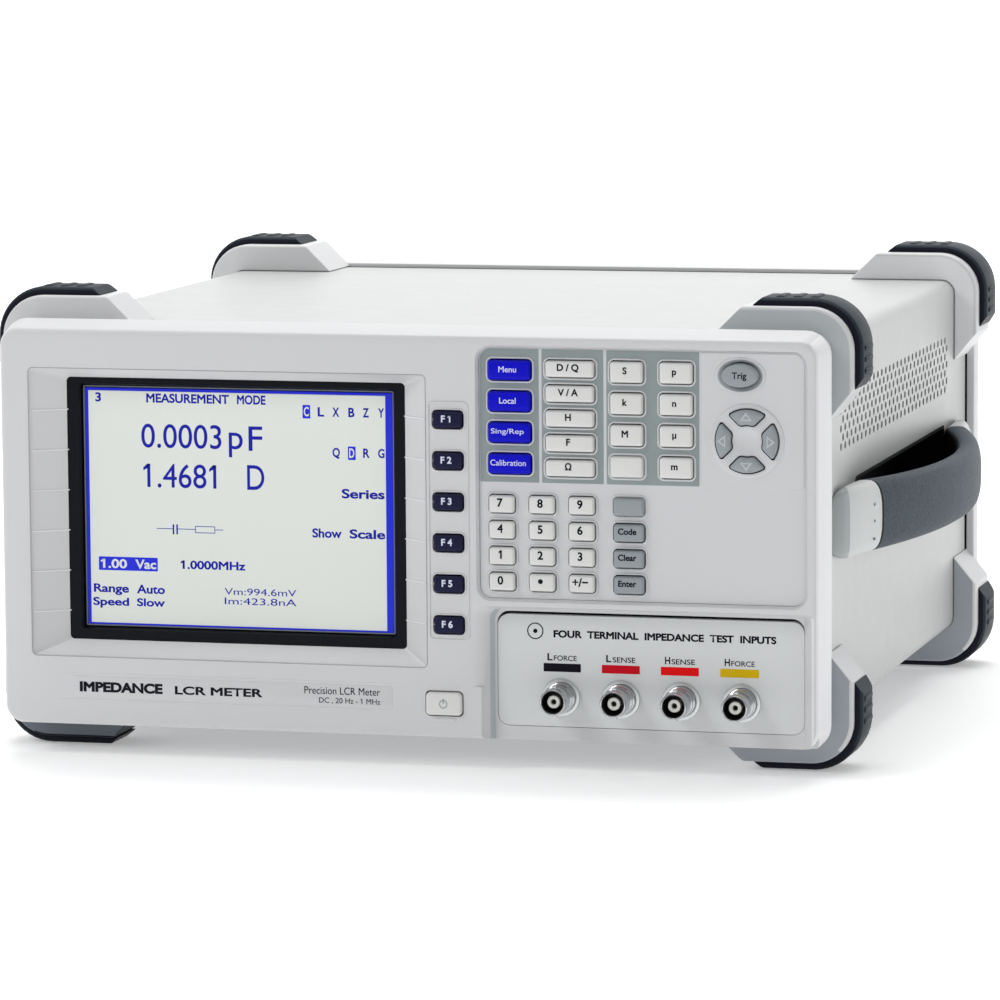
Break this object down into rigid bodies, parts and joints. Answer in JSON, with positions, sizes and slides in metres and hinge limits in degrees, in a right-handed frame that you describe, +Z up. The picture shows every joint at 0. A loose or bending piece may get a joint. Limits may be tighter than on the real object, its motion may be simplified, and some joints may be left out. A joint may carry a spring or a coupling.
{
  "type": "lcr meter",
  "caption": "Bench LCR meter: rubber-cornered case, side handle, display, keypad of sprung keys and a row of coaxial terminals.",
  "frame": {"origin": "middle of the bounding box's footprint, on the surface the bumpers stand on", "axes": "+X to the right as seen from the front, towards the carrying handle; +Y from the front panel to the rear panel; +Z up"},
  "size_m": [0.34, 0.3252, 0.17],
  "materials": {
    "shell": "fine-textured light grey moulded plastic",
    "panel": "satin grey panel with raised key rims",
    "cover_paint": "light grey powder coat",
    "zinc_steel": "zinc-plated sheet",
    "display": "black bezel with a pale liquid crystal panel",
    "terminal_plate": "plate with nickel-plated coaxial sockets",
    "circuit_board": "solder-masked laminate",
    "bumper_rubber": "matt moulded rubber",
    "grip_rubber": "grained soft grip",
    "blue_keys": "satin blue keycap",
    "soft_keys": "satin navy keycap",
    "pale_keys": "satin moulded keycap with printed legend"
  },
  "bodies": {
    "case": {"front_bezel": "shell", "keypad_panel": "panel", "lcd_module": "display", "case_cover": "cover_paint", "chassis": "zinc_steel", "rear_frame": "shell", "handle_grip": "grip_rubber", "terminal_block": "terminal_plate", "main_board": "circuit_board", "bumper_front_top_right": "bumper_rubber", "bumper_front_top_left": "bumper_rubber", "bumper_front_bottom_left": "bumper_rubber", "bumper_front_bottom_right": "bumper_rubber", "bumper_rear_top_right": "bumper_rubber", "bumper_rear_top_left": "bumper_rubber", "bumper_rear_bottom_left": "bumper_rubber", "bumper_rear_bottom_right": "bumper_rubber"},
    "key_f1": {"key_f1": "soft_keys"},
    "key_f2": {"key_f2": "soft_keys"},
    "key_f3": {"key_f3": "soft_keys"},
    "key_f4": {"key_f4": "soft_keys"},
    "key_f5": {"key_f5": "soft_keys"},
    "key_f6": {"key_f6": "soft_keys"},
    "key_menu": {"key_menu": "blue_keys"},
    "key_local": {"key_local": "blue_keys"},
    "key_sing_rep": {"key_sing_rep": "blue_keys"},
    "key_calibration": {"key_calibration": "blue_keys"},
    "key_dq": {"key_dq": "pale_keys"},
    "key_va": {"key_va": "pale_keys"},
    "key_h": {"key_h": "pale_keys"},
    "key_f": {"key_f": "pale_keys"},
    "key_ohm": {"key_ohm": "pale_keys"},
    "key_s": {"key_s": "pale_keys"},
    "key_kilo": {"key_kilo": "pale_keys"},
    "key_mega": {"key_mega": "pale_keys"},
    "key_pico": {"key_pico": "pale_keys"},
    "key_nano": {"key_nano": "pale_keys"},
    "key_micro": {"key_micro": "pale_keys"},
    "key_milli": {"key_milli": "pale_keys"},
    "key_0": {"key_0": "pale_keys"},
    "key_1": {"key_1": "pale_keys"},
    "key_2": {"key_2": "pale_keys"},
    "key_3": {"key_3": "pale_keys"},
    "key_4": {"key_4": "pale_keys"},
    "key_5": {"key_5": "pale_keys"},
    "key_6": {"key_6": "pale_keys"},
    "key_7": {"key_7": "pale_keys"},
    "key_8": {"key_8": "pale_keys"},
    "key_9": {"key_9": "pale_keys"},
    "key_point": {"key_point": "pale_keys"},
    "key_sign": {"key_sign": "pale_keys"},
    "key_code": {"key_code": "pale_keys"},
    "key_clear": {"key_clear": "pale_keys"},
    "key_enter": {"key_enter": "pale_keys"},
    "key_trig": {"key_trig": "pale_keys"},
    "key_arrow_up": {"key_arrow_up": "pale_keys"},
    "key_arrow_right": {"key_arrow_right": "pale_keys"},
    "key_arrow_down": {"key_arrow_down": "pale_keys"},
    "key_arrow_left": {"key_arrow_left": "pale_keys"},
    "power_button": {"power_button": "pale_keys"}
  },
  "joints": [
    {"name": "key_f1_press", "type": "slide", "parent": "case", "child": "key_f1", "axis": [0, 1, 0], "range_m": [0, 0.0012], "stiffness_N_per_m": 350, "springref_m": -0.001},
    {"name": "key_f2_press", "type": "slide", "parent": "case", "child": "key_f2", "axis": [0, 1, 0], "range_m": [0, 0.0012], "stiffness_N_per_m": 350, "springref_m": -0.001},
    {"name": "key_f3_press", "type": "slide", "parent": "case", "child": "key_f3", "axis": [0, 1, 0], "range_m": [0, 0.0012], "stiffness_N_per_m": 350, "springref_m": -0.001},
    {"name": "key_f4_press", "type": "slide", "parent": "case", "child": "key_f4", "axis": [0, 1, 0], "range_m": [0, 0.0012], "stiffness_N_per_m": 350, "springref_m": -0.001},
    {"name": "key_f5_press", "type": "slide", "parent": "case", "child": "key_f5", "axis": [0, 1, 0], "range_m": [0, 0.0012], "stiffness_N_per_m": 350, "springref_m": -0.001},
    {"name": "key_f6_press", "type": "slide", "parent": "case", "child": "key_f6", "axis": [0, 1, 0], "range_m": [0, 0.0012], "stiffness_N_per_m": 350, "springref_m": -0.001},
    {"name": "key_menu_press", "type": "slide", "parent": "case", "child": "key_menu", "axis": [0, 1, 0], "range_m": [0, 0.0012], "stiffness_N_per_m": 350, "springref_m": -0.001},
    {"name": "key_local_press", "type": "slide", "parent": "case", "child": "key_local", "axis": [0, 1, 0], "range_m": [0, 0.0012], "stiffness_N_per_m": 350, "springref_m": -0.001},
    {"name": "key_sing_rep_press", "type": "slide", "parent": "case", "child": "key_sing_rep", "axis": [0, 1, 0], "range_m": [0, 0.0012], "stiffness_N_per_m": 350, "springref_m": -0.001},
    {"name": "key_calibration_press", "type": "slide", "parent": "case", "child": "key_calibration", "axis": [0, 1, 0], "range_m": [0, 0.0012], "stiffness_N_per_m": 350, "springref_m": -0.001},
    {"name": "key_dq_press", "type": "slide", "parent": "case", "child": "key_dq", "axis": [0, 1, 0], "range_m": [0, 0.0012], "stiffness_N_per_m": 350, "springref_m": -0.001},
    {"name": "key_va_press", "type": "slide", "parent": "case", "child": "key_va", "axis": [0, 1, 0], "range_m": [0, 0.0012], "stiffness_N_per_m": 350, "springref_m": -0.001},
    {"name": "key_h_press", "type": "slide", "parent": "case", "child": "key_h", "axis": [0, 1, 0], "range_m": [0, 0.0012], "stiffness_N_per_m": 350, "springref_m": -0.001},
    {"name": "key_f_press", "type": "slide", "parent": "case", "child": "key_f", "axis": [0, 1, 0], "range_m": [0, 0.0012], "stiffness_N_per_m": 350, "springref_m": -0.001},
    {"name": "key_ohm_press", "type": "slide", "parent": "case", "child": "key_ohm", "axis": [0, 1, 0], "range_m": [0, 0.0012], "stiffness_N_per_m": 350, "springref_m": -0.001},
    {"name": "key_s_press", "type": "slide", "parent": "case", "child": "key_s", "axis": [0, 1, 0], "range_m": [0, 0.0012], "stiffness_N_per_m": 350, "springref_m": -0.001},
    {"name": "key_kilo_press", "type": "slide", "parent": "case", "child": "key_kilo", "axis": [0, 1, 0], "range_m": [0, 0.0012], "stiffness_N_per_m": 350, "springref_m": -0.001},
    {"name": "key_mega_press", "type": "slide", "parent": "case", "child": "key_mega", "axis": [0, 1, 0], "range_m": [0, 0.0012], "stiffness_N_per_m": 350, "springref_m": -0.001},
    {"name": "key_pico_press", "type": "slide", "parent": "case", "child": "key_pico", "axis": [0, 1, 0], "range_m": [0, 0.0012], "stiffness_N_per_m": 350, "springref_m": -0.001},
    {"name": "key_nano_press", "type": "slide", "parent": "case", "child": "key_nano", "axis": [0, 1, 0], "range_m": [0, 0.0012], "stiffness_N_per_m": 350, "springref_m": -0.001},
    {"name": "key_micro_press", "type": "slide", "parent": "case", "child": "key_micro", "axis": [0, 1, 0], "range_m": [0, 0.0012], "stiffness_N_per_m": 350, "springref_m": -0.001},
    {"name": "key_milli_press", "type": "slide", "parent": "case", "child": "key_milli", "axis": [0, 1, 0], "range_m": [0, 0.0012], "stiffness_N_per_m": 350, "springref_m": -0.001},
    {"name": "key_0_press", "type": "slide", "parent": "case", "child": "key_0", "axis": [0, 1, 0], "range_m": [0, 0.0012], "stiffness_N_per_m": 350, "springref_m": -0.001},
    {"name": "key_1_press", "type": "slide", "parent": "case", "child": "key_1", "axis": [0, 1, 0], "range_m": [0, 0.0012], "stiffness_N_per_m": 350, "springref_m": -0.001},
    {"name": "key_2_press", "type": "slide", "parent": "case", "child": "key_2", "axis": [0, 1, 0], "range_m": [0, 0.0012], "stiffness_N_per_m": 350, "springref_m": -0.001},
    {"name": "key_3_press", "type": "slide", "parent": "case", "child": "key_3", "axis": [0, 1, 0], "range_m": [0, 0.0012], "stiffness_N_per_m": 350, "springref_m": -0.001},
    {"name": "key_4_press", "type": "slide", "parent": "case", "child": "key_4", "axis": [0, 1, 0], "range_m": [0, 0.0012], "stiffness_N_per_m": 350, "springref_m": -0.001},
    {"name": "key_5_press", "type": "slide", "parent": "case", "child": "key_5", "axis": [0, 1, 0], "range_m": [0, 0.0012], "stiffness_N_per_m": 350, "springref_m": -0.001},
    {"name": "key_6_press", "type": "slide", "parent": "case", "child": "key_6", "axis": [0, 1, 0], "range_m": [0, 0.0012], "stiffness_N_per_m": 350, "springref_m": -0.001},
    {"name": "key_7_press", "type": "slide", "parent": "case", "child": "key_7", "axis": [0, 1, 0], "range_m": [0, 0.0012], "stiffness_N_per_m": 350, "springref_m": -0.001},
    {"name": "key_8_press", "type": "slide", "parent": "case", "child": "key_8", "axis": [0, 1, 0], "range_m": [0, 0.0012], "stiffness_N_per_m": 350, "springref_m": -0.001},
    {"name": "key_9_press", "type": "slide", "parent": "case", "child": "key_9", "axis": [0, 1, 0], "range_m": [0, 0.0012], "stiffness_N_per_m": 350, "springref_m": -0.001},
    {"name": "key_point_press", "type": "slide", "parent": "case", "child": "key_point", "axis": [0, 1, 0], "range_m": [0, 0.0012], "stiffness_N_per_m": 350, "springref_m": -0.001},
    {"name": "key_sign_press", "type": "slide", "parent": "case", "child": "key_sign", "axis": [0, 1, 0], "range_m": [0, 0.0012], "stiffness_N_per_m": 350, "springref_m": -0.001},
    {"name": "key_code_press", "type": "slide", "parent": "case", "child": "key_code", "axis": [0, 1, 0], "range_m": [0, 0.0012], "stiffness_N_per_m": 350, "springref_m": -0.001},
    {"name": "key_clear_press", "type": "slide", "parent": "case", "child": "key_clear", "axis": [0, 1, 0], "range_m": [0, 0.0012], "stiffness_N_per_m": 350, "springref_m": -0.001},
    {"name": "key_enter_press", "type": "slide", "parent": "case", "child": "key_enter", "axis": [0, 1, 0], "range_m": [0, 0.0012], "stiffness_N_per_m": 350, "springref_m": -0.001},
    {"name": "key_trig_press", "type": "slide", "parent": "case", "child": "key_trig", "axis": [0, 1, 0], "range_m": [0, 0.0012], "stiffness_N_per_m": 350, "springref_m": -0.001},
    {"name": "key_arrow_up_press", "type": "slide", "parent": "case", "child": "key_arrow_up", "axis": [0, 1, 0], "range_m": [0, 0.0012], "stiffness_N_per_m": 350, "springref_m": -0.001},
    {"name": "key_arrow_right_press", "type": "slide", "parent": "case", "child": "key_arrow_right", "axis": [0, 1, 0], "range_m": [0, 0.0012], "stiffness_N_per_m": 350, "springref_m": -0.001},
    {"name": "key_arrow_down_press", "type": "slide", "parent": "case", "child": "key_arrow_down", "axis": [0, 1, 0], "range_m": [0, 0.0012], "stiffness_N_per_m": 350, "springref_m": -0.001},
    {"name": "key_arrow_left_press", "type": "slide", "parent": "case", "child": "key_arrow_left", "axis": [0, 1, 0], "range_m": [0, 0.0012], "stiffness_N_per_m": 350, "springref_m": -0.001},
    {"name": "power_button_press", "type": "slide", "parent": "case", "child": "power_button", "axis": [0, 1, 0], "range_m": [0, 0.0025], "stiffness_N_per_m": 400, "springref_m": -0.001}
  ]
}
